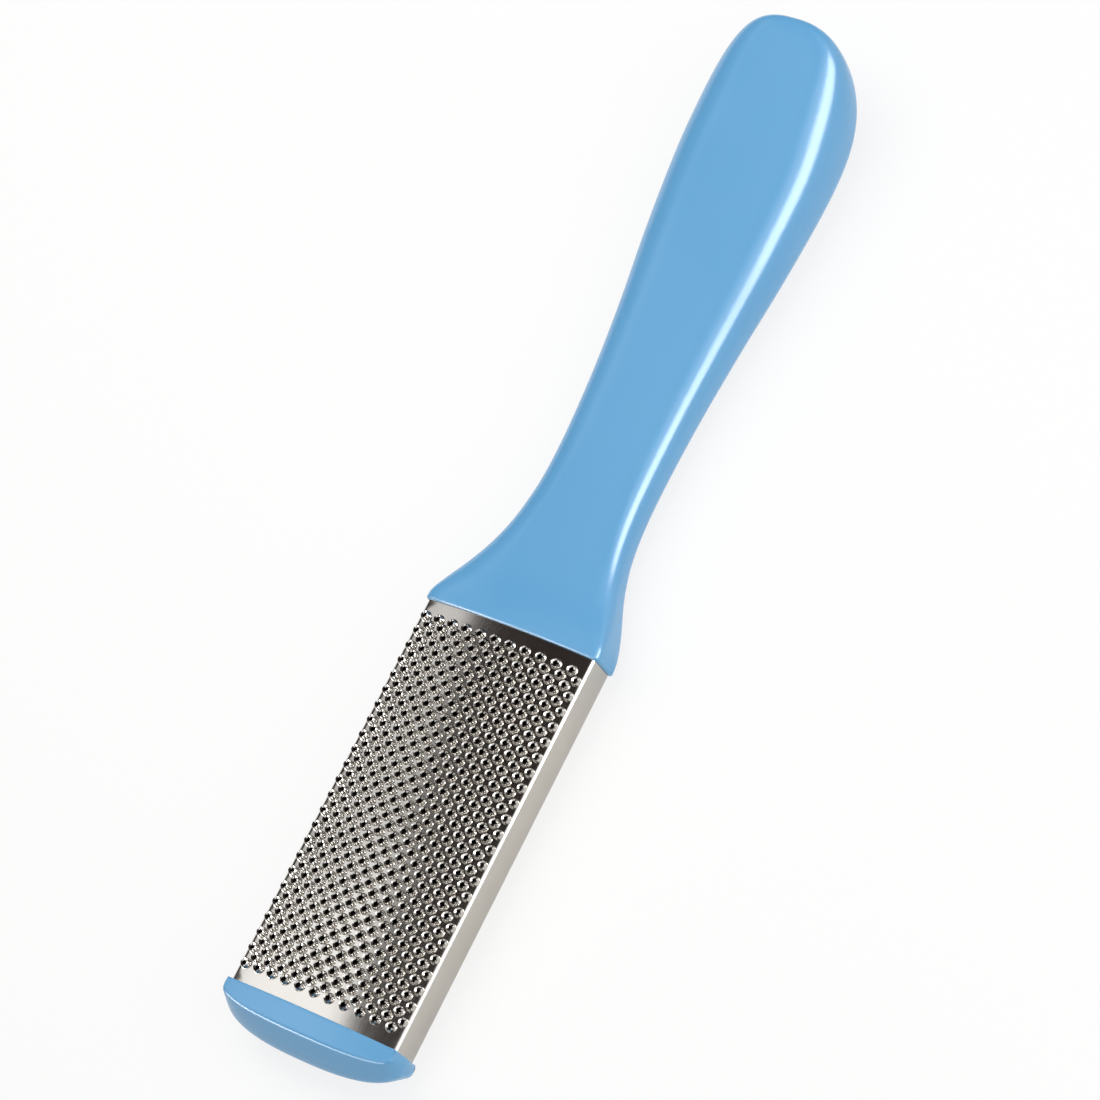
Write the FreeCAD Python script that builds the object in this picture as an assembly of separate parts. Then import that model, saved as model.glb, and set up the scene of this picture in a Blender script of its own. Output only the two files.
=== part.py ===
import FreeCAD, Part
import math
import os

# Foot file: a two-sided steel rasp head on a hollow moulded handle.
# Millimetres. X runs across the head, Y along the tool from the end cap to the butt, Z up.
# The coarse face is up. The origin is under the middle of the tool, at the handle's lowest point.

# Lengths along the tool
cap_length = 7.8
blade_length = 76.0
handle_length = 123.2

# Steel head
head_width = 36.0
head_thickness = 7.5
sheet_thickness = 0.4
front_bend_radius = 0.6
back_bend_radius = 1.0
lip_width = 3.2
plate_edge_gap = 0.1

# Collar and cap, which stand proud of the steel and take its ends in a shallow socket
collar_proud = 0.6
collar_edge_radius = 0.25
cap_proud = 0.8
socket_depth = 1.2
socket_gap = 0.1

# End cap: a flat front and back inside a ridge, and a bulged side between them
cap_flat_depth = 3.8
cap_ridge_inset = 0.4

# Coarse burrs in staggered rows
coarse_pitch_across = 3.15
coarse_pitch_along = 3.0
coarse_first_row = 2.8
coarse_base_radius = 0.82
coarse_mouth_radius = 0.52
coarse_root_radius = 0.62
coarse_height = 0.85

# Fine burrs in staggered rows
fine_pitch_across = 2.5
fine_pitch_along = 2.5
fine_first_row = 3.6
fine_side_margin = 0.8
fine_base_radius = 0.66
fine_mouth_radius = 0.38
fine_root_radius = 0.48
fine_height = 0.65

# Core of the head
core_side_gap = 0.15
core_edge_radius = 0.8
core_wall = 2.0
core_rib = 1.4
core_web = 1.5
cells_across = 3
cells_along = 6
tang_width = 14.0
tang_thickness = 3.0
tang_length = 24.0
tang_drop = 1.3
tang_gap = 0.1

# Pegs of the end cap
cap_peg_radius = 1.5
cap_peg_length = 5.0
cap_peg_spacing = 22.0

# Handle: distances from the collar's edge, and heights from the middle of the head's thickness
neck_distance = 32.0
neck_half_width = 10.9
neck_rise = 3.2
neck_seam_drop = 2.6
neck_depth = 8.3
grip_distance = 96.0
grip_half_width = 15.35
grip_rise = 10.0
grip_seam_drop = 0.4
grip_depth = 8.3
deck_rise = 5.4
tip_rise = 10.7
handle_wall = 2.2
parting_drop = 0.5

# Handle: inside
rib_thickness = 1.6
post_radius = 3.0
peg_radius = 1.5
peg_height = 3.0
peg_gap = 0.1

# Places along the handle, as shares of its length
rib_shares = [0.08, 0.16, 0.58]
post_shares = [0.12, 0.45, 0.73]

# Flare from the collar to the neck: shares of the way along, and of the change made by then
flare_shares = [0.0, 0.06, 0.14, 0.28, 0.47, 0.69, 1.0]
flare_width_shares = [0.0, 0.02, 0.13, 0.345, 0.655, 0.885, 1.0]
flare_top_shares = [0.0, 0.0, 0.12, 0.58, 0.88, 0.98, 1.0]
flare_depth_shares = [0.0, 0.02, 0.3, 0.58, 0.74, 0.87, 1.0]
flare_softening_shares = [0.0, 0.04, 0.45, 0.8, 0.93, 0.98, 1.0]

# Swell from the neck to the grip, in the same way
swell_shares = [0.25, 0.5, 0.75, 1.0]
swell_width_shares = [0.08, 0.36, 0.75, 1.0]
swell_rise_shares = [0.13, 0.36, 0.68, 1.0]

# Rounded butt: shares of the way to the tip, and the powers of its curves
end_shares = [0.2, 0.4, 0.6, 0.76, 0.88, 0.95, 0.985, 0.997]
butt_width_power = 3.0
butt_deck_power = 6.0
butt_hull_power = 2.4
butt_seam_power = 3.4

# Levels through the end cap, as shares of its half thickness
cap_level_shares = [-1.0, -0.75, -0.4, 0.0, 0.4, 0.75, 1.0]

# Squareness of the sections: 2 is an ellipse, more is nearer to a rectangle
collar_squareness = 12.0
deck_squareness = 2.8
hull_squareness = 2.2
cap_squareness = 2.5
points_per_half = 25

# Places that follow from the sizes
overall_length = cap_length + blade_length + handle_length
cap_tip_y = -overall_length / 2
blade_end_y = cap_tip_y + cap_length
collar_y = blade_end_y + blade_length
butt_y = overall_length / 2
butt_span = handle_length - grip_distance
front_z = head_thickness / 2
back_z = -head_thickness / 2
flat_half_width = head_width / 2 - front_bend_radius
lip_x = head_width / 2 - lip_width
steel_start_y = blade_end_y - socket_depth
steel_length = blade_length + 2 * socket_depth
collar_half_width = head_width / 2 + collar_proud
collar_half_thickness = head_thickness / 2 + collar_proud
cap_half_width = head_width / 2 + cap_proud
cap_half_thickness = head_thickness / 2 + cap_proud
core_half_width = head_width / 2 - sheet_thickness - core_side_gap
core_top_z = front_z - sheet_thickness
core_bottom_z = back_z + 2 * sheet_thickness
cap_peg_z = (core_top_z + core_bottom_z) / 2

UP = FreeCAD.Vector(0, 0, 1)
ALONG = FreeCAD.Vector(0, 1, 0)


def point(x, y, z):
    return FreeCAD.Vector(x, y, z)


def box(low, high):
    size = high.sub(low)
    return Part.makeBox(size.x, size.y, size.z, low)


def between(start, end, share):
    return start + (end - start) * share


# Burrs


def burr_spots(half_room, base_radius, pitch_across, pitch_along, first_row):
    """Places of the burrs that fit: every second row is shifted by half a pitch."""
    columns = int((2 * half_room - 2 * base_radius - pitch_across / 2) / pitch_across) + 1
    rows = int((blade_length - 2 * first_row) / pitch_along) + 1
    spots = []
    for row in range(2 * rows - 1):
        shift = pitch_across / 4 if row % 2 == 0 else -pitch_across / 4
        y = collar_y - first_row - row * pitch_along / 2
        for column in range(columns):
            x = (column - (columns - 1) / 2) * pitch_across + shift
            spots.append((x, y))
    return spots


def flat_with_holes(half_width, spots, radius, z):
    """Flat of the sheet, pierced at each burr."""
    end_y = steel_start_y + steel_length
    corners = [
        point(-half_width, steel_start_y, z),
        point(half_width, steel_start_y, z),
        point(half_width, end_y, z),
        point(-half_width, end_y, z),
    ]
    outline = Part.makePolygon(corners + corners[:1])
    holes = [Part.Wire(Part.makeCircle(radius, point(x, y, z), -UP)) for x, y in spots]
    return Part.Face([outline] + holes)


def burr_sides(spots, base_radius, root_radius, mouth_radius, height, base_z, side):
    """Outer and inner cone of each burr, which meet in a sharp mouth."""
    mouth_z = base_z + side * height
    root_z = base_z - side * sheet_thickness
    sides = []
    for x, y in spots:
        slope = Part.makePolygon([
            point(x + base_radius, y, base_z),
            point(x + mouth_radius, y, mouth_z),
            point(x + root_radius, y, root_z),
        ])
        sides.extend(slope.revolve(point(x, y, base_z), UP, 360).Faces)
    return sides


def closed_solid(faces):
    skin = Part.Compound(faces)
    skin.sewShape()
    solid = Part.Solid(skin.Shells[0])
    if solid.Volume < 0:
        solid.reverse()
    return solid


# Steel


def bend(centre_x, centre_z, radius, start_degrees, end_degrees):
    middle_degrees = (start_degrees + end_degrees) / 2
    places = []
    for degrees in (start_degrees, middle_degrees, end_degrees):
        angle = math.radians(degrees)
        x = centre_x + radius * math.cos(angle)
        z = centre_z + radius * math.sin(angle)
        places.append(point(x, steel_start_y, z))
    return Part.Arc(*places).toShape()


def mirrored(edge):
    return edge.mirror(point(0, 0, 0), point(1, 0, 0))


def coarse_rasp_plate():
    """Sheet with burrs on top, folded around both sides, with a lip along each back edge."""
    half = head_width / 2
    front_centre_z = front_z - front_bend_radius
    back_centre_x = half - back_bend_radius
    back_centre_z = back_z + back_bend_radius
    inner_x = half - sheet_thickness
    lip_inner_z = back_z + sheet_thickness
    y = steel_start_y
    half_profile = [
        bend(flat_half_width, front_centre_z, front_bend_radius, 90, 0),
        Part.makeLine(point(half, y, front_centre_z), point(half, y, back_centre_z)),
        bend(back_centre_x, back_centre_z, back_bend_radius, 0, -90),
        Part.makeLine(point(back_centre_x, y, back_z), point(lip_x, y, back_z)),
        Part.makeLine(point(lip_x, y, back_z), point(lip_x, y, lip_inner_z)),
        Part.makeLine(point(lip_x, y, lip_inner_z), point(back_centre_x, y, lip_inner_z)),
        bend(back_centre_x, back_centre_z, back_bend_radius - sheet_thickness, -90, 0),
        Part.makeLine(point(inner_x, y, back_centre_z), point(inner_x, y, front_centre_z)),
        bend(flat_half_width, front_centre_z, front_bend_radius - sheet_thickness, 0, 90),
    ]
    profile = half_profile + [mirrored(edge) for edge in half_profile]
    top = Part.makeLine(point(-flat_half_width, y, front_z), point(flat_half_width, y, front_z))
    under = Part.makeLine(point(-flat_half_width, y, core_top_z), point(flat_half_width, y, core_top_z))
    run = ALONG * steel_length
    folded = [edge.extrude(run) for edge in profile]
    start_face = Part.Face(Part.Wire(Part.__sortEdges__([top, under] + profile)))
    ends = [start_face, start_face.translated(run)]
    spots = burr_spots(
        flat_half_width, coarse_base_radius, coarse_pitch_across, coarse_pitch_along, coarse_first_row
    )
    flats = [
        flat_with_holes(flat_half_width, spots, coarse_base_radius, front_z),
        flat_with_holes(flat_half_width, spots, coarse_root_radius, core_top_z),
    ]
    burrs = burr_sides(
        spots, coarse_base_radius, coarse_root_radius, coarse_mouth_radius, coarse_height, front_z, 1
    )
    return closed_solid(folded + ends + flats + burrs)


def fine_rasp_plate():
    """Flat sheet with fine burrs below, lying between the core and the lips of the coarse sheet."""
    half_width = head_width / 2 - back_bend_radius - plate_edge_gap
    outer_z = back_z + sheet_thickness
    inner_z = core_bottom_z
    spots = burr_spots(
        lip_x - fine_side_margin, fine_base_radius, fine_pitch_across, fine_pitch_along, fine_first_row
    )
    outside = flat_with_holes(half_width, spots, fine_base_radius, outer_z)
    inside = flat_with_holes(half_width, spots, fine_root_radius, inner_z)
    edges = [edge.extrude(UP * sheet_thickness) for edge in outside.OuterWire.Edges]
    burrs = burr_sides(
        spots, fine_base_radius, fine_root_radius, fine_mouth_radius, fine_height, outer_z, -1
    )
    return closed_solid(edges + [outside, inside] + burrs)


# Core of the head


def core_cells():
    """Open cells above and below the web, which leave a frame and ribs under each sheet."""
    web_bottom = (core_top_z + core_bottom_z - core_web) / 2
    web_top = web_bottom + core_web
    inner_width = 2 * (core_half_width - core_wall)
    inner_length = steel_length - 2 * core_wall
    width = (inner_width - (cells_across - 1) * core_rib) / cells_across
    length = (inner_length - (cells_along - 1) * core_rib) / cells_along
    cells = []
    for column in range(cells_across):
        x = core_wall - core_half_width + column * (width + core_rib)
        for row in range(cells_along):
            y = steel_start_y + core_wall + row * (length + core_rib)
            cells.append(box(point(x, y, web_top), point(x + width, y + length, core_top_z)))
            cells.append(box(point(x, y, core_bottom_z), point(x + width, y + length, web_bottom)))
    return cells


def tang_box(gap):
    half_width = tang_width / 2 + gap
    half_thickness = tang_thickness / 2 + gap
    end_y = collar_y + socket_depth + tang_length + gap
    return box(
        point(-half_width, collar_y, -tang_drop - half_thickness),
        point(half_width, end_y, -tang_drop + half_thickness),
    )


def long_edges(solid, z):
    """Edges that run along the tool at one height."""
    found = []
    for edge in solid.Edges:
        extent = edge.BoundBox
        if extent.YLength > steel_length / 2 and abs(extent.Center.z - z) < sheet_thickness:
            found.append(edge)
    return found


def cap_pegs(radius, length):
    return [
        Part.makeCylinder(radius, length, point(side * cap_peg_spacing / 2, steel_start_y, cap_peg_z), ALONG)
        for side in (-1, 1)
    ]


def head_core():
    block = box(
        point(-core_half_width, steel_start_y, core_bottom_z),
        point(core_half_width, steel_start_y + steel_length, core_top_z),
    )
    block = block.makeFillet(core_edge_radius, long_edges(block, core_top_z))
    core = block.cut(core_cells())
    core = core.cut(cap_pegs(cap_peg_radius + peg_gap, cap_peg_length + peg_gap))
    core = core.fuse(tang_box(0))
    lock_y = collar_y + post_shares[0] * handle_length
    lock_hole = Part.makeCylinder(
        peg_radius + peg_gap, 2 * tang_thickness, point(0, lock_y, -tang_drop - tang_thickness)
    )
    return core.cut(lock_hole).removeSplitter()


# Moulded forms made of sections


def section_places(half_width, bottom_z, seam_z, top_z, hull, deck):
    """Places on one half of a section, from the bottom line over the widest point to the top line."""
    places = []
    for step in range(points_per_half):
        angle = math.pi * step / (points_per_half - 1) - math.pi / 2
        across = abs(math.cos(angle)) if 0 < step < points_per_half - 1 else 0.0
        upward = abs(math.sin(angle))
        squareness = hull if angle < 0 else deck
        reach = (across ** squareness + upward ** squareness) ** (-1 / squareness)
        end_z = bottom_z if angle < 0 else top_z
        places.append((half_width * across * reach, between(seam_z, end_z, upward * reach)))
    return places


def section_steps():
    """Shares of the way around half a section of middling form, one for each of its places."""
    places = section_places(
        collar_half_width, -grip_depth, 0, grip_depth, hull_squareness + deck_squareness, hull_squareness + deck_squareness
    )
    lengths = [math.dist(start, end) for start, end in zip(places, places[1:])]
    return [sum(lengths[:count]) / sum(lengths) for count in range(points_per_half)]


def section(y, half_width, bottom_z, seam_z, top_z, hull, deck):
    """Closed section across the tool: two mirrored curves that meet on the top and bottom lines."""
    places = section_places(half_width, bottom_z, seam_z, top_z, hull, deck)
    halves = []
    for side in (1, -1):
        curve = Part.BSplineCurve()
        curve.interpolate(Points=[point(side * x, y, z) for x, z in places], Parameters=section_steps())
        halves.append(curve.toShape())
    return Part.Wire(Part.__sortEdges__(halves))


def rounded(share, power):
    """Size left at a share of the way to a rounded end."""
    return (1 - share ** power) ** (1 / power)


def with_soft_rim(solid):
    """Round the outer edge of the collar's flat end."""
    rim = []
    for edge in solid.Edges:
        extent = edge.BoundBox
        if extent.YMax - collar_y < collar_edge_radius / 2 and extent.XLength > collar_half_width / 2:
            rim.append(edge)
    return solid.makeFillet(collar_edge_radius, rim)


def handle_stations():
    """Distance, half width, bottom, seam and top heights and both squarenesses, from collar to grip."""
    stations = []
    for k, share in enumerate(flare_shares):
        depth_share = flare_depth_shares[k]
        softening = flare_softening_shares[k]
        stations.append((
            neck_distance * share,
            between(collar_half_width, neck_half_width, flare_width_shares[k]),
            between(-collar_half_thickness, -neck_depth, depth_share),
            -neck_seam_drop * depth_share,
            between(collar_half_thickness, neck_rise, flare_top_shares[k]),
            between(collar_squareness, hull_squareness, softening),
            between(collar_squareness, deck_squareness, softening),
        ))
    for k, share in enumerate(swell_shares):
        rise_share = swell_rise_shares[k]
        stations.append((
            between(neck_distance, grip_distance, share),
            between(neck_half_width, grip_half_width, swell_width_shares[k]),
            between(-neck_depth, -grip_depth, rise_share),
            between(-neck_seam_drop, -grip_seam_drop, rise_share),
            between(neck_rise, grip_rise, rise_share),
            hull_squareness,
            deck_squareness,
        ))
    return stations


def butt_seam(share):
    """Height of the widest line beyond the grip, at a share of the way to the tip."""
    return between(-grip_seam_drop, tip_rise, share ** butt_seam_power)


def butt_section(share, inset):
    """Section beyond the grip, at a share of the way to the tip."""
    reach = share * (butt_span - inset)
    tip_z = butt_seam(1 - inset / butt_span)
    deck_z = grip_rise - inset + deck_rise * reach / butt_span
    hull_z = inset - grip_depth
    return section(
        collar_y + grip_distance + reach,
        (grip_half_width - inset) * rounded(share, butt_width_power),
        between(tip_z, hull_z, rounded(share, butt_hull_power)),
        butt_seam(reach / butt_span),
        between(tip_z, deck_z, rounded(share, butt_deck_power)),
        hull_squareness,
        deck_squareness,
    )


def handle_body(inset, first_station):
    """Whole handle form, or its inside when it is inset by the wall."""
    sections = []
    for distance, width, bottom, seam, top, hull, deck in handle_stations()[first_station:]:
        sections.append(section(
            collar_y + distance, width - inset, bottom + inset, seam, top - inset, hull, deck
        ))
    sections.extend(butt_section(share, inset) for share in end_shares)
    tip = point(0, butt_y - inset, butt_seam(1 - inset / butt_span))
    return Part.makeLoft(sections + [Part.Vertex(tip)], True, False)


def above_parting():
    """Everything above the parting line, which runs just under the handle's widest line."""
    heights = [(station[0], station[3]) for station in handle_stations()]
    heights.extend((grip_distance + share * butt_span, butt_seam(share)) for share in end_shares + [1.0])
    line = [point(0, collar_y + distance, height - parting_drop) for distance, height in heights]
    curve = Part.BSplineCurve()
    curve.interpolate(line)
    before = line[0] - ALONG * handle_wall
    after = line[-1] + ALONG * handle_wall
    over_before = point(0, before.y, overall_length)
    over_after = point(0, after.y, overall_length)
    edges = [
        Part.makeLine(before, line[0]),
        curve.toShape(),
        Part.makeLine(line[-1], after),
        Part.makeLine(after, over_after),
        Part.makeLine(over_after, over_before),
        Part.makeLine(over_before, before),
    ]
    face = Part.Face(Part.Wire(edges))
    return face.translated(point(-head_width, 0, 0)).extrude(point(2 * head_width, 0, 0))


def seam_at(distance):
    """Height of the widest line at a distance from the collar, between two stations."""
    stations = handle_stations()
    for before, after in zip(stations, stations[1:]):
        if before[0] <= distance <= after[0]:
            share = (distance - before[0]) / (after[0] - before[0])
            return between(before[3], after[3], share)
    return butt_seam((distance - grip_distance) / butt_span)


def head_socket(start_y):
    """Space that one end of the steel head fills, with its gap."""
    half_width = head_width / 2 + socket_gap
    half_thickness = head_thickness / 2 + socket_gap
    space = box(
        point(-half_width, start_y, -half_thickness),
        point(half_width, start_y + socket_depth, half_thickness),
    )
    corners = [edge for edge in space.Edges if edge.BoundBox.YLength > socket_depth / 2]
    return space.makeFillet(front_bend_radius, corners)


def handle_shells():
    """Front and back halves of the hollow handle."""
    ribs = []
    for share in rib_shares:
        rib_y = collar_y + share * handle_length
        ribs.append(box(
            point(-head_width, rib_y - rib_thickness / 2, -overall_length),
            point(head_width, rib_y + rib_thickness / 2, overall_length),
        ))
    posts = [
        Part.makeCylinder(post_radius, 2 * overall_length, point(0, collar_y + share * handle_length, -overall_length))
        for share in post_shares
    ]
    chambers = handle_body(handle_wall, 2).cut(ribs + posts)
    body = with_soft_rim(handle_body(0, 0))
    body = body.cut([chambers, head_socket(collar_y), tang_box(tang_gap)])
    upper = above_parting()
    front = body.common(upper)
    back = body.cut(upper)
    for share in post_shares:
        peg_start = point(0, collar_y + share * handle_length, seam_at(share * handle_length) - peg_height)
        front = front.cut(Part.makeCylinder(peg_radius + peg_gap, 2 * peg_height + peg_gap, peg_start))
        back = back.fuse(Part.makeCylinder(peg_radius, 2 * peg_height, peg_start))
    return front, back


def cap_outline(level):
    """Outline of the cap at one level, a share of its half thickness above or below the middle."""
    bulge = 1 - level ** 2
    half_width = between(cap_half_width - cap_ridge_inset, cap_half_width, bulge)
    depth = between(cap_flat_depth, cap_length, bulge)
    z = level * cap_half_thickness
    places = []
    for step in range(points_per_half):
        angle = math.pi * step / (points_per_half - 1)
        across = math.cos(angle)
        outward = math.sin(angle) if 0 < step < points_per_half - 1 else 0.0
        reach = (abs(across) ** cap_squareness + outward ** cap_squareness) ** (-1 / cap_squareness)
        places.append(point(half_width * across * reach, blade_end_y - depth * outward * reach, z))
    curve = Part.BSplineCurve()
    curve.interpolate(places)
    return Part.Wire([curve.toShape(), Part.makeLine(places[-1], places[0])])


def end_cap():
    """Rounded cap over the free end of the head, with two pegs that enter the core."""
    body = Part.makeLoft([cap_outline(level) for level in cap_level_shares], True, False)
    body = body.cut(head_socket(steel_start_y))
    return body.fuse(cap_pegs(cap_peg_radius, cap_peg_length))


front_shell, back_shell = handle_shells()
nodes = {
    "handle_front_shell": front_shell,
    "handle_back_shell": back_shell,
    "head_core": head_core(),
    "coarse_rasp_plate": coarse_rasp_plate(),
    "fine_rasp_plate": fine_rasp_plate(),
    "end_cap": end_cap(),
}
head_z = -back_shell.optimalBoundingBox(False, False).ZMin
print("middle of the head's thickness is at z", round(head_z, 4))
os.makedirs("parts", exist_ok=True)
for name, shape in nodes.items():
    placed = shape.translated(UP * head_z)
    placed.exportStep("parts/" + name + ".step")
    extent = placed.optimalBoundingBox(False, False)
    print(name, placed.ShapeType, len(placed.Solids), placed.isValid(), round(placed.Volume, 1))
    print("  x", round(extent.XMin, 3), round(extent.XMax, 3))
    print("  y", round(extent.YMin, 3), round(extent.YMax, 3))
    print("  z", round(extent.ZMin, 3), round(extent.ZMax, 3))
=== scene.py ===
# %% [markdown]
# # A foot file
# The tool is a two-sided steel rasp on a hollow blue handle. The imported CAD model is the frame:
# each piece below is modelled in its place and stands for one CAD node, so nothing has to be fitted.

# %% Load the frame
import math

import bmesh
import bpy
from mathutils import Matrix, Quaternion, Vector


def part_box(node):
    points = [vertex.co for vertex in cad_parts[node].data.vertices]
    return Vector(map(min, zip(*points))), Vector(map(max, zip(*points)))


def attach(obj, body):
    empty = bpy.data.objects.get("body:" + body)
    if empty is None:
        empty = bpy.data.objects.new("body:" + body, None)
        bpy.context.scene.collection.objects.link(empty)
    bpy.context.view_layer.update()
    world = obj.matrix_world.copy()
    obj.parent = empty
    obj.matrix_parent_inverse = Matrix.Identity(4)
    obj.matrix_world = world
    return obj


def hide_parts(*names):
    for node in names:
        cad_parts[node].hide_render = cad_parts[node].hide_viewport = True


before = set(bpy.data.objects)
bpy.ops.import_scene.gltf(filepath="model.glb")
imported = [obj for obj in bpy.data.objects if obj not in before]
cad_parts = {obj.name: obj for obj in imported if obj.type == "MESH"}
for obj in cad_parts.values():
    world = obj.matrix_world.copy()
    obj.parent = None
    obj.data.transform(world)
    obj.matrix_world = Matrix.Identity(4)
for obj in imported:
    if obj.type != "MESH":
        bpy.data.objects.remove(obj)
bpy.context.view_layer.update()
print("CAD nodes:", sorted(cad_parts))

# %% [markdown]
# ## Measures
# Shapes are drawn in millimetres, because a maker thinks in them, and are scaled to metres when they
# are kept. X runs across the head, Y from the end cap to the butt, and Z up from the table.
# The head's levels are read from the steel's own CAD box, so they follow the frame.

# %% Measures of the head
MM = 0.001
NEAR = 0.001
steel_low, steel_high = (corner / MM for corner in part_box("coarse_rasp_plate"))
SOCKET_DEPTH = 1.2
STEEL_END = steel_low.y
STEEL_START = steel_high.y
BLADE_END = STEEL_END + SOCKET_DEPTH
COLLAR_Y = STEEL_START - SOCKET_DEPTH
HEAD_HALF_WIDTH = steel_high.x
HEAD_THICKNESS = 7.5
BACK_Z = steel_low.z
FRONT_Z = BACK_Z + HEAD_THICKNESS
HEAD_Z = (FRONT_Z + BACK_Z) / 2
CROWN = 1.9


def crown_at(x, half_width):
    """Rise of the head's domed front at a place across it."""
    return CROWN * max(0.0, 1 - (x / half_width) ** 2)


print("blade from", round(BLADE_END, 2), "to", round(COLLAR_Y, 2), "front face at", round(FRONT_Z, 3))

# %% [markdown]
# ## Colours and nodes
# Colours are written as sRGB hex values, as a colour picker shows them, and Blender's sockets want
# linear light. One helper adds any shader node with its settings and links.

# %% Helpers for materials
def linear(hex_colour):
    """A linear RGBA colour from an sRGB hex value."""
    shares = [int(hex_colour[k:k + 2], 16) / 255 for k in (1, 3, 5)]
    return tuple(s / 12.92 if s <= 0.04045 else ((s + 0.055) / 1.055) ** 2.4 for s in shares) + (1.0,)


def add_node(tree, kind, inputs=None, **settings):
    """Add a shader node. An input takes a value, or the socket that feeds it."""
    made = tree.nodes.new("ShaderNode" + kind)
    for name, value in settings.items():
        setattr(made, name, value)
    for name, value in (inputs or {}).items():
        if isinstance(value, bpy.types.NodeSocket):
            tree.links.new(value, made.inputs[name])
        else:
            made.inputs[name].default_value = value
    return made


def new_material(name):
    """A material with an empty node tree, and its output node."""
    material = bpy.data.materials.new(name)
    material.use_nodes = True
    material.node_tree.nodes.clear()
    return material, material.node_tree, add_node(material.node_tree, "OutputMaterial")


def per_metre(size_mm):
    """Scale of a texture whose features are this many millimetres apart."""
    return 1 / (size_mm * MM)


# %% [markdown]
# ## Moulded ABS
# The handle and the cap are injection moulded in a pale blue ABS. A polished mould leaves a gloss with a
# faint orange peel, the colour drifts a little where the melt flowed, and handling dulls it in patches.

# %% Blue ABS
blue_abs, tree, out = new_material("moulded_blue_abs")
place = add_node(tree, "TexCoord")
flow = add_node(tree, "TexNoise", {
    "Vector": place.outputs["Object"], "Scale": per_metre(28), "Detail": 2.0})
handling = add_node(tree, "TexNoise", {
    "Vector": place.outputs["Object"], "Scale": per_metre(6), "Detail": 4.0})
peel = add_node(tree, "TexNoise", {
    "Vector": place.outputs["Object"], "Scale": per_metre(0.9), "Detail": 1.0})
tint = add_node(tree, "Mix", {
    0: flow.outputs[0], 6: linear("#61A4D4"), 7: linear("#6AAAD8")}, data_type="RGBA")
dulling = add_node(tree, "MapRange", {
    "Value": handling.outputs[0], "To Min": 0.17, "To Max": 0.27})
relief = add_node(tree, "Bump", {
    "Height": peel.outputs[0], "Strength": 0.5, "Distance": 0.012 * MM})
shader = add_node(tree, "BsdfPrincipled", {
    "Base Color": tint.outputs[2], "Roughness": dulling.outputs[0], "IOR": 1.54,
    "Normal": relief.outputs[0]})
tree.links.new(shader.outputs[0], out.inputs["Surface"])
print("material", blue_abs.name)

# %% [markdown]
# ## Rolled stainless steel
# The sheets are bright rolled stainless. Rolling leaves a mirror with fine streaks along the blade, which
# stretch and blur reflections, and fingers leave soft smears. The streaks are drawn 0.25 mm wide,
# coarser than real ones, because those are too fine to show in the render.

# %% Steel
steel, tree, out = new_material("rolled_stainless_steel")
place = add_node(tree, "TexCoord")
grain_space = add_node(tree, "Mapping", {
    "Vector": place.outputs["Object"], "Scale": (per_metre(0.25), per_metre(9), per_metre(0.25))})
grain = add_node(tree, "TexNoise", {
    "Vector": grain_space.outputs[0], "Scale": 1.0, "Detail": 3.0})
smears = add_node(tree, "TexNoise", {
    "Vector": place.outputs["Object"], "Scale": per_metre(7), "Detail": 3.0})
tint = add_node(tree, "Mix", {
    0: smears.outputs[0], 6: linear("#C3C0BB"), 7: linear("#CFCCC8")}, data_type="RGBA")
streaks = add_node(tree, "MapRange", {
    "Value": grain.outputs[0], "To Min": 0.11, "To Max": 0.20})
relief = add_node(tree, "Bump", {
    "Height": grain.outputs[0], "Strength": 0.2, "Distance": 0.002 * MM})
shader = add_node(tree, "BsdfPrincipled", {
    "Base Color": tint.outputs[2], "Metallic": 1.0, "Roughness": streaks.outputs[0],
    "Normal": relief.outputs[0]})
tree.links.new(shader.outputs[0], out.inputs["Surface"])
print("material", steel.name)

# %% [markdown]
# ## Moulded polypropylene
# The core inside the head only shows through the holes of the burrs. It is black polypropylene with the
# matt, slightly waxy grain of an unpolished mould. Its CAD shape is right, so it stays and is only painted.

# %% Black core
black_core, tree, out = new_material("moulded_black_polypropylene")
place = add_node(tree, "TexCoord")
spark = add_node(tree, "TexNoise", {
    "Vector": place.outputs["Object"], "Scale": per_metre(0.6), "Detail": 3.0})
tint = add_node(tree, "Mix", {
    0: spark.outputs[0], 6: linear("#141416"), 7: linear("#202022")}, data_type="RGBA")
relief = add_node(tree, "Bump", {
    "Height": spark.outputs[0], "Strength": 0.6, "Distance": 0.02 * MM})
shader = add_node(tree, "BsdfPrincipled", {
    "Base Color": tint.outputs[2], "Roughness": 0.55, "IOR": 1.49, "Normal": relief.outputs[0]})
tree.links.new(shader.outputs[0], out.inputs["Surface"])
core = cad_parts["head_core"]
core.data.materials.clear()
core.data.materials.append(black_core)
print("material", black_core.name, "on head_core")

# %% [markdown]
# ## Keeping a piece
# Each shape is drawn in a bmesh. The second helper scales it to metres, smooths its shading except at
# true edges, hangs it on the body it rides on and hides the CAD node it stands for.

# %% Helpers that keep a shape
SHARP_FROM = math.radians(50)


def add_mesh(shape, name, material):
    """Put a bmesh into the scene as an object with one material."""
    mesh = bpy.data.meshes.new(name)
    shape.to_mesh(mesh)
    shape.free()
    mesh.materials.append(material)
    made = bpy.data.objects.new(name, mesh)
    bpy.context.scene.collection.objects.link(made)
    return made


def keep_piece(shape, name, material, node):
    """Keep a shape drawn in millimetres as the piece that stands for a CAD node."""
    bmesh.ops.scale(shape, vec=Vector((MM, MM, MM)), verts=shape.verts)
    piece = add_mesh(shape, name, material)
    piece.data.shade_smooth()
    piece.data.set_sharp_from_angle(angle=SHARP_FROM)
    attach(piece, "root")
    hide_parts(node)
    print(name, "has", len(piece.data.polygons), "faces")


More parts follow.
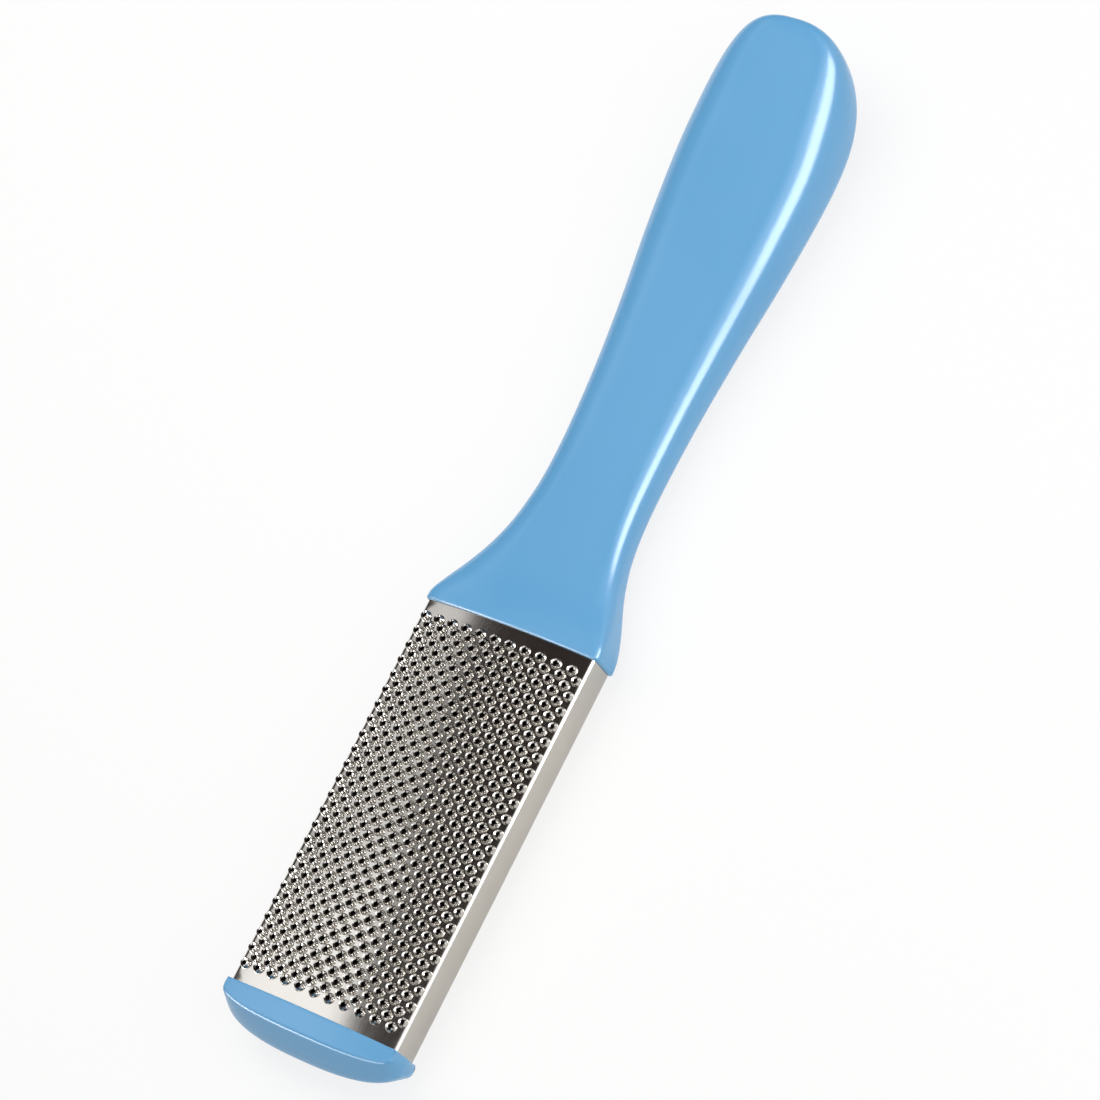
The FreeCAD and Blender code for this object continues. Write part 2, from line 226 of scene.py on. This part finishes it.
# %% [markdown]
# ## Handle
# The handle is one flowing form: a square collar around the steel, a slim neck, and a grip that swells to
# a rounded butt. A subdivided box would need many edge loops to hold it. It is easier to write the section
# at a few stations, with a squareness for the deck and one for the hull below, and to lay a grid along them.

# %% Stations of the handle
# Distance from the collar's edge, half width, bottom, seam, top, squareness of the hull and of the deck.
# Heights are from the middle of the head's thickness.
STATIONS = [
    (0.0, 18.6, -4.35, 0.0, 4.35, 12.0, 12.0),
    (1.92, 18.446, -4.429, -0.052, 4.35, 11.608, 11.632),
    (4.48, 17.599, -5.535, -0.78, 4.212, 7.59, 7.86),
    (8.96, 15.944, -6.641, -1.508, 3.683, 4.16, 4.64),
    (15.04, 13.557, -7.273, -1.924, 3.338, 2.886, 3.444),
    (22.08, 11.786, -7.787, -2.262, 3.223, 2.396, 2.984),
    (32.0, 10.9, -8.3, -2.6, 3.2, 2.2, 2.8),
    (48.0, 11.256, -8.3, -2.314, 4.084, 2.2, 2.8),
    (64.0, 12.502, -8.3, -1.808, 5.648, 2.2, 2.8),
    (80.0, 14.238, -8.3, -1.104, 7.824, 2.2, 2.8),
    (96.0, 15.35, -8.3, -0.4, 10.0, 2.2, 2.8),
]
MEASURES = len(STATIONS[0]) - 1
NECK_DISTANCE = 32.0
HANDLE_LENGTH = 123.2
GRIP_DISTANCE, GRIP_HALF_WIDTH, GRIP_BOTTOM, GRIP_SEAM, GRIP_TOP, HULL, DECK = STATIONS[-1]
BUTT_SPAN = HANDLE_LENGTH - GRIP_DISTANCE
BUTT_WIDTH_POWER = 3.0
BUTT_BOTTOM_POWER = 2.4
BUTT_SEAM_POWER = 3.4
BUTT_TOP_POWER = 6.0
DECK_RISE = 5.4
TIP_Z = 10.7


def rounded(share, power):
    """Size left at a share of the way to a rounded end."""
    return max(0.0, 1 - share ** power) ** (1 / power)


def butt_section(distance):
    """Section of the rounded butt, where each line runs to the tip with its own roundness."""
    share = min(1.0, (distance - GRIP_DISTANCE) / BUTT_SPAN)
    deck = GRIP_TOP + DECK_RISE * share
    return (
        GRIP_HALF_WIDTH * rounded(share, BUTT_WIDTH_POWER),
        TIP_Z + (GRIP_BOTTOM - TIP_Z) * rounded(share, BUTT_BOTTOM_POWER),
        GRIP_SEAM + (TIP_Z - GRIP_SEAM) * share ** BUTT_SEAM_POWER,
        TIP_Z + (deck - TIP_Z) * rounded(share, BUTT_TOP_POWER),
        HULL,
        DECK,
    )


print("stations:", len(STATIONS), "and a butt of", round(BUTT_SPAN, 1), "mm")

# %% [markdown]
# Between the stations each measure follows a cubic with matching slopes, so no ring shows as a
# kink in the gloss. The last of these spans reaches a little way into the butt and meets its curve.

# %% Sections between the stations
BLEND_SHARE = 0.35
BLEND_STEP = 0.1
blend_distance = GRIP_DISTANCE + BLEND_SHARE * BUTT_SPAN
knots = STATIONS + [(blend_distance,) + butt_section(blend_distance)]


def slopes_at(k):
    """Slope of each measure at a knot, flat at the collar and the butt's own at the last knot."""
    if k == 0:
        return [0.0] * MEASURES
    if k == len(knots) - 1:
        before = butt_section(blend_distance - BLEND_STEP)
        after = butt_section(blend_distance + BLEND_STEP)
        return [(b - a) / (2 * BLEND_STEP) for a, b in zip(before, after)]
    run = knots[k + 1][0] - knots[k - 1][0]
    return [(b - a) / run for a, b in zip(knots[k - 1][1:], knots[k + 1][1:])]


knot_slopes = [slopes_at(k) for k in range(len(knots))]


def section_at(distance):
    """The handle's measures at a distance from the collar's edge."""
    if distance >= blend_distance:
        return butt_section(distance)
    k = max(i for i in range(len(knots) - 1) if knots[i][0] <= distance)
    run = knots[k + 1][0] - knots[k][0]
    t = (distance - knots[k][0]) / run
    measures = []
    for m in range(MEASURES):
        start, end = knots[k][m + 1], knots[k + 1][m + 1]
        leaving, arriving = run * knot_slopes[k][m], run * knot_slopes[k + 1][m]
        measures.append(
            start + t * leaving
            + t ** 2 * (3 * (end - start) - 2 * leaving - arriving)
            + t ** 3 * (2 * (start - end) + leaving + arriving))
    return measures


print("neck half width", round(section_at(NECK_DISTANCE)[0], 2),
      "grip half width", round(section_at(GRIP_DISTANCE)[0], 2))

# %% [markdown]
# A section is a superellipse, which goes from a square to an oval with one number. The collar's deck also
# follows the dome of the rasp, and that dome fades out before the neck.

# %% Skin of the handle
CROWN_FADE = 24.0


def handle_place(distance, inset, angle):
    """A place on the handle's skin: 0 degrees is the right seam, 90 the deck, -90 the bottom."""
    half_width, bottom, seam, top, hull, deck = section_at(distance)
    across, upward = math.cos(angle), math.sin(angle)
    squareness, height = (deck, top - seam) if upward >= 0 else (hull, seam - bottom)
    reach = (abs(across) ** squareness + abs(upward) ** squareness) ** (-1 / squareness)
    dome = 0.0
    if upward > 0:
        dome = max(0.0, 1 - distance / CROWN_FADE) ** 2 * crown_at(across * reach, 1.0)
    return Vector((
        max(0.0, half_width - inset) * across * reach,
        COLLAR_Y + distance,
        HEAD_Z + seam + max(0.0, height - inset) * upward * reach + dome))


print("deck at the neck:", round(handle_place(NECK_DISTANCE, 0.0, math.pi / 2).z, 2), "mm high")

# %% [markdown]
# The handle is moulded as two half shells that meet at the widest line. One grid is laid over each: its
# columns go around the half and its rows along the tool. The first rows fold in to make the collar's
# lip, with a narrow flat chamfer that shows as a bright line over the steel. The last rows crowd together
# at the tip, where the form turns fastest.

# %% Two handle shells
# Distance from the collar's edge and inset of each row of the lip.
LIP_ROWS = [
    (SOCKET_DEPTH, 0.55), (0.0, 0.55), (0.0, 0.32), (0.03, 0.29), (0.22, 0.09), (0.25, 0.06), (0.38, 0.01),
    (0.55, 0.0)]
FLARE_STEP = 0.8
FLARE_FIRST = 2
GRIP_STEP = 2.0
BUTT_ROWS = 44
CROWDING = 4
AROUND = 72
SHELL_WALL = 0.4
flare_count = round(NECK_DISTANCE / FLARE_STEP)
grip_count = round((GRIP_DISTANCE - NECK_DISTANCE) / GRIP_STEP)
flare_rows = [(FLARE_STEP * k, 0.0) for k in range(FLARE_FIRST, flare_count)]
grip_rows = [(NECK_DISTANCE + GRIP_STEP * k, 0.0) for k in range(grip_count)]
butt_rows = [
    (GRIP_DISTANCE + BUTT_SPAN * (1 - (1 - k / BUTT_ROWS) ** CROWDING), 0.0) for k in range(BUTT_ROWS + 1)]
handle_rows = LIP_ROWS + flare_rows + grip_rows + butt_rows


def handle_shell(name, node, first_angle, last_angle):
    """Lay a grid over one half of the handle, and give it a wall."""
    shape = bmesh.new()
    last_row = len(handle_rows) - 1
    bmesh.ops.create_grid(shape, x_segments=AROUND, y_segments=last_row, size=0.5)
    for spot in shape.verts:
        distance, inset = handle_rows[round((spot.co.y + 0.5) * last_row)]
        share = spot.co.x + 0.5
        spot.co = handle_place(distance, inset, first_angle + share * (last_angle - first_angle))
    bmesh.ops.remove_doubles(shape, verts=shape.verts, dist=NEAR)
    bmesh.ops.solidify(shape, geom=shape.faces[:], thickness=SHELL_WALL)
    keep_piece(shape, name, blue_abs, node)


handle_shell("handle_front", "handle_front_shell", math.pi, 0.0)
handle_shell("handle_back", "handle_back_shell", 0.0, -math.pi)

# %% [markdown]
# ## End cap
# The cap closes the free end of the head. It has a flat front and back, each inside a curved ridge, and a
# bulged side between them, which is widest a little beyond the rim. A grid is bent around the side, the rim
# is filled, the ridges get a small bevel that catches the light, and the rim is inset and pushed in as the
# socket for the steel.

# %% Skin of the cap
CAP_DEPTH = 7.8
CAP_FLAT_DEPTH = 4.3
CAP_WIDEST = 1.5
CAP_HALF_WIDTH = 18.8
CAP_RIDGE_INSET = 0.5
CAP_HALF_THICKNESS = 4.55
CAP_SQUARENESS = 2.5
CAP_BULGE = 1.3
CAP_TUCK = math.radians(12)
CAP_COLUMNS, CAP_LEVELS, CAP_FLAT_ROWS = 80, 18, 6
cap_rows = [(-1.0, k / CAP_FLAT_ROWS) for k in range(CAP_FLAT_ROWS)]
cap_rows += [(2 * k / CAP_LEVELS - 1, 1.0) for k in range(CAP_LEVELS + 1)]
cap_rows += [(1.0, 1 - k / CAP_FLAT_ROWS) for k in range(1, CAP_FLAT_ROWS + 1)]


def cap_place(share, level, outset):
    """A place on the cap: along its outline, from back to front, and from the rim out to the ridge."""
    angle = (math.pi + 2 * CAP_TUCK) * share - CAP_TUCK
    across, outward = math.cos(angle), math.sin(angle)
    bulge = abs(level) ** CAP_BULGE
    half_width = CAP_HALF_WIDTH - CAP_RIDGE_INSET * bulge
    depth = CAP_DEPTH - (CAP_DEPTH - CAP_FLAT_DEPTH) * bulge
    reach = 1.0
    beyond = CAP_WIDEST * (1 + outward / math.sin(CAP_TUCK))
    if outward > 0:
        reach = (abs(across) ** CAP_SQUARENESS + outward ** CAP_SQUARENESS) ** (-1 / CAP_SQUARENESS)
        beyond = CAP_WIDEST + (depth - CAP_WIDEST) * outward * reach
    at_rim = math.cos(CAP_TUCK) * math.cos(math.pi * share)
    place_across = at_rim + (across * reach - at_rim) * outset
    dome = max(0.0, level) * crown_at(place_across, 1.0)
    return Vector((
        half_width * place_across,
        BLADE_END - beyond * outset,
        HEAD_Z + level * CAP_HALF_THICKNESS + dome))


cap = bmesh.new()
last_cap_row = len(cap_rows) - 1
bmesh.ops.create_grid(cap, x_segments=CAP_COLUMNS, y_segments=last_cap_row, size=0.5)
for spot in cap.verts:
    level, outset = cap_rows[round((spot.co.y + 0.5) * last_cap_row)]
    spot.co = cap_place(spot.co.x + 0.5, level, outset)
bmesh.ops.remove_doubles(cap, verts=cap.verts, dist=NEAR)
print("cap skin:", len(cap.faces), "faces")

# %% Ridges and socket of the cap
RIDGE_ANGLE = math.radians(20)
RIDGE_BEVEL = 0.45
RIM_BEVEL = 0.25
RIM_WIDTH = 0.45
RIM_CLEARANCE = 0.01
RIM_FACING = 0.9
BEVEL_STEPS = 3


def rim_face():
    """The large face of the cap that looks towards the head."""
    return max((f for f in cap.faces if f.normal.y > RIM_FACING), key=lambda f: f.calc_area())


bmesh.ops.edgeloop_fill(cap, edges=[e for e in cap.edges if e.is_boundary])
bmesh.ops.recalc_face_normals(cap, faces=cap.faces[:])
ridges = [e for e in cap.edges
          if e.calc_face_angle(0.0) > RIDGE_ANGLE
          and max(v.co.y for v in e.verts) < BLADE_END - RIM_CLEARANCE]
bmesh.ops.bevel(
    cap, geom=ridges, offset=RIDGE_BEVEL, segments=BEVEL_STEPS, profile=0.5, affect="EDGES", material=-1)
bmesh.ops.bevel(
    cap, geom=rim_face().edges[:], offset=RIM_BEVEL, segments=BEVEL_STEPS, profile=0.5, affect="EDGES",
    material=-1)
rim = rim_face()
bmesh.ops.inset_individual(cap, faces=[rim], thickness=RIM_WIDTH)
socket = bmesh.ops.extrude_discrete_faces(cap, faces=[rim])["faces"][0]
bmesh.ops.translate(cap, verts=socket.verts, vec=Vector((0, -SOCKET_DEPTH, 0)))
keep_piece(cap, "head_end_cap", blue_abs, "end_cap")

# %% [markdown]
# ## Rasp sheets
# Each burr is punched through the sheet from behind: the metal rises as a small volcano and tears open at
# the top in a four-pointed star. They stand in staggered rows, so each one owns a diamond of the sheet.
# A grid turned by 45 degrees gives these diamonds, and four cuts trim it to the sheet's outline.

# %% Diamonds of a sheet
SPARE_CELLS = 6


def diamond_sheet(pitch_across, pitch_along, rows, columns, first_row, side_shift, half_width):
    """A flat sheet at height 0, cut in diamonds. The layer holds the centre of each burr, in its cell."""
    shape = bmesh.new()
    centre_of = shape.faces.layers.float_vector.new("burr_centre")
    count = int(half_width / pitch_across + (STEEL_START - STEEL_END) / pitch_along) + SPARE_CELLS
    count += 1 - count % 2
    bmesh.ops.create_grid(shape, x_segments=count, y_segments=count, size=count / 2)
    middle_y = COLLAR_Y - first_row - (rows - 1) / 2 * pitch_along / 2
    lay = (
        Matrix.Translation((side_shift, middle_y, 0))
        @ Matrix.Diagonal((pitch_across / math.sqrt(2), pitch_along / math.sqrt(2), 1, 1))
        @ Matrix.Rotation(math.pi / 4, 4, "Z"))
    bmesh.ops.transform(shape, matrix=lay, verts=shape.verts)
    row_reach = (rows - 1) / 2 * pitch_along / 2 + pitch_along / 4
    column_reach = columns / 2 * pitch_across
    for cell in shape.faces:
        centre = cell.calc_center_median()
        if abs(centre.x) < column_reach and abs(centre.y - middle_y) < row_reach:
            cell[centre_of] = Vector((centre.x, centre.y, 1.0))
    cuts = [((half_width, 0, 0), (1, 0, 0)), ((-half_width, 0, 0), (-1, 0, 0)),
            ((0, STEEL_START, 0), (0, 1, 0)), ((0, STEEL_END, 0), (0, -1, 0))]
    for place, outward in cuts:
        bmesh.ops.bisect_plane(
            shape, geom=shape.verts[:] + shape.edges[:] + shape.faces[:],
            plane_co=place, plane_no=outward, clear_outer=True)
    return shape, centre_of


# %% [markdown]
# The burrs then grow by repeated insets. Every cell edge is split in three, which makes the diamonds
# twelve-sided, and each inset ring is pulled to a circle of the burr's profile. That is 60 faces a burr,
# few enough for hundreds of them. No two burrs tear alike, so each mouth leans its own way.

# %% Burrs of a sheet
STAR_POINTS = 4
TORN_RISE = 0.05
LEAN = 0.6
LEAN_TURN = 2.4
FIRST_INSET = 0.02


def raise_burrs(shape, centre_of, profile, edge_limit):
    """Raise a burr in each marked cell. A ring has a radius, a height, a star's depth and a torn rise."""
    cells = [f for f in shape.faces if f[centre_of].z > 0.5]
    for edge in {e for f in cells for e in f.edges}:
        _, corner = bmesh.utils.edge_split(edge, edge.verts[0], 1 / 3)
        bmesh.utils.edge_split(edge, corner, 1 / 2)
    for radius, height, star, torn in profile:
        bmesh.ops.inset_individual(shape, faces=cells, thickness=FIRST_INSET)
        for number, cell in enumerate(cells):
            centre = cell[centre_of]
            room = min(1.0, (edge_limit - abs(centre.x)) / profile[0][0])
            for spot in cell.verts:
                angle = math.atan2(spot.co.y - centre.y, spot.co.x - centre.x)
                point = math.cos(STAR_POINTS * angle)
                ring = radius * room * (1 + star * point)
                lift = torn * (point + LEAN * math.sin(angle + LEAN_TURN * number))
                spot.co = Vector((
                    centre.x + ring * math.cos(angle), centre.y + ring * math.sin(angle), height + lift))
    bmesh.ops.delete(shape, geom=cells, context="FACES_ONLY")
    print("burrs:", len(cells))


# %% [markdown]
# ### Coarse sheet
# The front sheet is domed across its width, folded down both sides of the core, and ends in a lip under
# each edge. The burrs are raised while it is flat, and the outer ones hang a little over the fold. A fold is
# a spin of the sheet's edge by a quarter turn, and the flat runs between the folds are plain extrusions.

# %% Coarse sheet and its dome
COARSE_STAR = 0.18
COARSE_PROFILE = [
    (1.06, 0.0, 0.0, 0.0), (0.98, 0.34, 0.0, 0.0), (0.74, 0.76, 0.03, TORN_RISE),
    (0.46, 0.62, COARSE_STAR, TORN_RISE), (0.39, -0.35, COARSE_STAR, 0.0)]
BURR_OVERHANG = 0.3
FRONT_BEND = 1.0
EDGE_TILT = 0.2176
flat_half = HEAD_HALF_WIDTH - FRONT_BEND * (1 - math.sin(EDGE_TILT))
dome_radius = flat_half / math.sin(EDGE_TILT)
coarse, centre_of = diamond_sheet(
    pitch_across=3.14, pitch_along=3.02, rows=47, columns=11, first_row=3.2, side_shift=0.85,
    half_width=flat_half)
raise_burrs(coarse, centre_of, COARSE_PROFILE, flat_half + BURR_OVERHANG)
for spot in coarse.verts:
    turn = EDGE_TILT * spot.co.x / flat_half
    radius = dome_radius + spot.co.z
    spot.co.x = radius * math.sin(turn)
    spot.co.z = FRONT_Z + radius * math.cos(turn) - dome_radius * math.cos(EDGE_TILT)
print("dome rises", round(dome_radius * (1 - math.cos(EDGE_TILT)), 2), "mm")

# %% Folds of the coarse sheet
BACK_BEND = 1.0
LIP_WIDTH = 3.2
SHEET = 0.4
FOLD_STEPS = 6


def run_out(shape, edges, way):
    """Extrude edges by a vector, and give back the new edges."""
    made = bmesh.ops.extrude_edge_only(shape, edges=edges)["geom"]
    bmesh.ops.translate(
        shape, verts=[g for g in made if isinstance(g, bmesh.types.BMVert)], vec=Vector(way))
    return [g for g in made if isinstance(g, bmesh.types.BMEdge)]


def fold(shape, edges, centre_x, centre_z, angle):
    """Spin edges around a line along the blade, and give back the new edges."""
    made = bmesh.ops.spin(
        shape, geom=edges, cent=Vector((centre_x, 0, centre_z)), axis=Vector((0, 1, 0)), angle=angle,
        steps=FOLD_STEPS)
    return [g for g in made["geom_last"] if isinstance(g, bmesh.types.BMEdge)]


front_x, front_z = HEAD_HALF_WIDTH - FRONT_BEND, FRONT_Z - FRONT_BEND * math.cos(EDGE_TILT)
back_x, back_z = HEAD_HALF_WIDTH - BACK_BEND, BACK_Z + BACK_BEND
for side in (1, -1):
    border = [e for e in coarse.edges
              if e.is_boundary and all(abs(v.co.x - side * flat_half) < NEAR for v in e.verts)]
    down = fold(coarse, border, side * front_x, front_z, side * (math.pi / 2 - EDGE_TILT))
    down = run_out(coarse, down, (0, 0, back_z - front_z))
    under = fold(coarse, down, side * back_x, back_z, side * math.pi / 2)
    under = run_out(coarse, under, (side * (BACK_BEND - LIP_WIDTH), 0, 0))
    run_out(coarse, under, (0, 0, SHEET))
bmesh.ops.recalc_face_normals(coarse, faces=coarse.faces[:])
keep_piece(coarse, "coarse_rasp", steel, "coarse_rasp_plate")

# %% [markdown]
# ### Fine sheet
# The back sheet is flat, has smaller burrs that point down, and lies between the core and the lips. It is
# drawn like the coarse one, turned over around the blade's length, and set at the lips' inner level.

# %% Fine sheet
FINE_STAR = 0.26
FINE_PROFILE = [
    (0.74, 0.0, 0.0, 0.0), (0.60, 0.26, 0.0, 0.0), (0.42, 0.62, 0.0, TORN_RISE),
    (0.30, 0.56, FINE_STAR, TORN_RISE), (0.28, -0.35, FINE_STAR, 0.0)]
FINE_PITCH = 2.5
FINE_PLAY = 0.1
fine_half = HEAD_HALF_WIDTH - BACK_BEND - FINE_PLAY
fine, centre_of = diamond_sheet(
    pitch_across=FINE_PITCH, pitch_along=FINE_PITCH, rows=55, columns=11, first_row=3.6,
    side_shift=-FINE_PITCH / 4, half_width=fine_half)
raise_burrs(fine, centre_of, FINE_PROFILE, fine_half)
turn_over = Matrix.Rotation(math.pi, 3, "Y")
bmesh.ops.rotate(fine, verts=fine.verts, cent=Vector((0, 0, 0)), matrix=turn_over)
bmesh.ops.translate(fine, verts=fine.verts, vec=Vector((0, 0, BACK_Z + SHEET)))
keep_piece(fine, "fine_rasp", steel, "fine_rasp_plate")

# %% [markdown]
# ## Camera
# A long lens looks down on the tool from the front right. The camera is rolled, so that the tool stands
# up in the picture from the lower left to the upper right.

# %% Camera
CAMERA_PLACE = Vector((339.88, -165.13, 609.85)) * MM
CAMERA_TARGET = Vector((-2.315, -2.631, 8.379)) * MM
CAMERA_ROLL = math.radians(-40.961)
CAMERA_LENS = 130.436
SENSOR_WIDTH = 36.0
camera_data = bpy.data.cameras.new("camera")
camera_data.sensor_width = SENSOR_WIDTH
camera_data.lens = CAMERA_LENS
camera = bpy.data.objects.new("camera", camera_data)
bpy.context.scene.collection.objects.link(camera)
camera.rotation_mode = "QUATERNION"
camera.location = CAMERA_PLACE
aim = (CAMERA_TARGET - CAMERA_PLACE).to_track_quat("-Z", "Y")
camera.rotation_quaternion = aim @ Quaternion((0, 0, 1), CAMERA_ROLL)
bpy.context.scene.camera = camera
print("camera at", [round(x, 3) for x in camera.location])

# %% [markdown]
# ## Studio
# The tool lies on white paper in a white room. What the camera and the reflections see of them is plain
# white, and the light that they throw on the tool is set apart from that, so the colours stay as written.

# %% Paper floor
PAPER_GLOW = 0.8
FLOOR_HALF_WIDTH = 6.0


def looked_at(tree):
    """A socket that gives 1 to the camera, mirrors and glass, and 0 to light on matt surfaces."""
    path = add_node(tree, "LightPath")
    seen = add_node(tree, "Math", {
        0: path.outputs["Is Camera Ray"], 1: path.outputs["Is Glossy Ray"]}, operation="MAXIMUM")
    seen = add_node(tree, "Math", {
        0: seen.outputs[0], 1: path.outputs["Is Transmission Ray"]}, operation="MAXIMUM")
    return seen.outputs[0]


paper, tree, out = new_material("white_paper_sweep")
share = add_node(tree, "Math", {0: looked_at(tree), 1: PAPER_GLOW}, operation="MULTIPLY")
glow = add_node(tree, "Emission", {"Color": linear("#FFFFFF"), "Strength": 1.0})
matt = add_node(tree, "BsdfDiffuse", {"Color": linear("#F6F6F4")})
both = add_node(tree, "MixShader", {0: share.outputs[0], 1: matt.outputs[0], 2: glow.outputs[0]})
tree.links.new(both.outputs[0], out.inputs["Surface"])
floor_shape = bmesh.new()
bmesh.ops.create_grid(floor_shape, x_segments=1, y_segments=1, size=FLOOR_HALF_WIDTH)
floor = add_mesh(floor_shape, "paper_floor", paper)

# %% World
ROOM_LIGHT = 0.46
world = bpy.data.worlds.new("studio")
bpy.context.scene.world = world
world.use_nodes = True
tree = world.node_tree
tree.nodes.clear()
out = add_node(tree, "OutputWorld")
room = add_node(tree, "Background", {"Color": linear("#FFFFFF"), "Strength": ROOM_LIGHT})
backdrop = add_node(tree, "Background", {"Color": linear("#FFFFFF"), "Strength": 1.0})
both = add_node(tree, "MixShader", {0: looked_at(tree), 1: room.outputs[0], 2: backdrop.outputs[0]})
tree.links.new(both.outputs[0], out.inputs["Surface"])
print("world:", world.name)

# %% [markdown]
# ### Lamps
# A key softbox above and a fill at the right light the matt surfaces. The key stays out of reflections,
# where it would wash out the deck. The other four lamps are there only to be mirrored: they draw the long
# highlight on the handle, the bright lines on lip and ridges, and the pale end of the rasp.

# %% Softboxes
# Name, place, direction, size, radiance in times of white, and whether matt surfaces and mirrors see it.
LAMPS = [
    ("key_softbox", (-150, 110, 450), (0, 0, -1), (520, 320), 2.3, True, False),
    ("right_fill", (380, 20, 330), (-370, 0, -320), (500, 420), 1.4, True, True),
    ("front_softbox", (-375, -162, 396), (0, 0, -1), (490, 310), 0.55, False, True),
    ("right_strip", (430, 240, 270), (-420, 0, -255), (400, 250), 12.0, False, True),
    ("low_panel", (-570, -680, 200), (570, 660, -190), (700, 300), 11.0, False, True),
    ("front_panel", (-40, -800, 200), (40, 780, -190), (420, 260), 8.0, False, True),
]
for name, place, way, size, radiance, on_matt, in_mirrors in LAMPS:
    lamp = bpy.data.lights.new(name, "AREA")
    lamp.shape = "RECTANGLE"
    lamp.size, lamp.size_y = (side * MM for side in size)
    lamp.energy = radiance * math.pi * lamp.size * lamp.size_y
    box = bpy.data.objects.new(name, lamp)
    bpy.context.scene.collection.objects.link(box)
    box.location = Vector(place) * MM
    box.rotation_mode = "QUATERNION"
    box.rotation_quaternion = Vector(way).to_track_quat("-Z", "Y")
    box.visible_diffuse = on_matt
    box.visible_glossy = in_mirrors
    print(name, "takes", round(lamp.energy, 2), "watts")

# %% [markdown]
# ### Cards
# Steel only looks like steel if it has something dark to mirror, so a product photographer hangs black
# cards beside the softboxes. A pale grey one lies on the paper and tones the side wall of the head. The
# cards here are seen by reflections alone: they cast no shadow and the camera looks through them.

# %% Cards
def card_paint(name, hex_colour):
    """A matt paint for a card."""
    paint, tree, out = new_material(name)
    matt = add_node(tree, "BsdfDiffuse", {"Color": linear(hex_colour)})
    tree.links.new(matt.outputs[0], out.inputs["Surface"])
    return paint


card_black = card_paint("black_card", "#403835")
card_grey = card_paint("grey_card", "#EDEBE7")

# Name, paint, one corner and the two sides that leave it.
CARDS = [
    ("card_over_head", card_black, (-465, 162, 399), (478, -292, 0), (219, 358, 0)),
    ("card_at_left", card_black, (-600, -250, 4), (0, 770, 0), (0, 0, 400)),
    ("card_at_back", card_black, (-600, 520, 4), (900, 200, 0), (0, 0, 620)),
    ("card_at_front", card_black, (180, -760, 4), (500, 210, 0), (0, 0, 700)),
    ("card_over_panel", card_black, (-800, -420, 440), (600, -500, 0), (0, 0, 500)),
    ("card_on_floor", card_grey, (19.5, -110, 0.5), (120, 0, 0), (0, 175, 0)),
]
for name, paint, corner, along, across in CARDS:
    shape = bmesh.new()
    bmesh.ops.create_grid(shape, x_segments=1, y_segments=1, size=0.5)
    for spot in shape.verts:
        reach = (spot.co.x + 0.5) * Vector(along) + (spot.co.y + 0.5) * Vector(across)
        spot.co = (Vector(corner) + reach) * MM
    card = add_mesh(shape, name, paint)
    card.visible_camera = False
    card.visible_diffuse = False
    card.visible_shadow = False
    card.visible_transmission = False
print("cards:", len(CARDS))

# %% [markdown]
# ## View settings
# The Standard view shows colours as they are written.

# %% Finish
bpy.context.scene.view_settings.view_transform = "Standard"
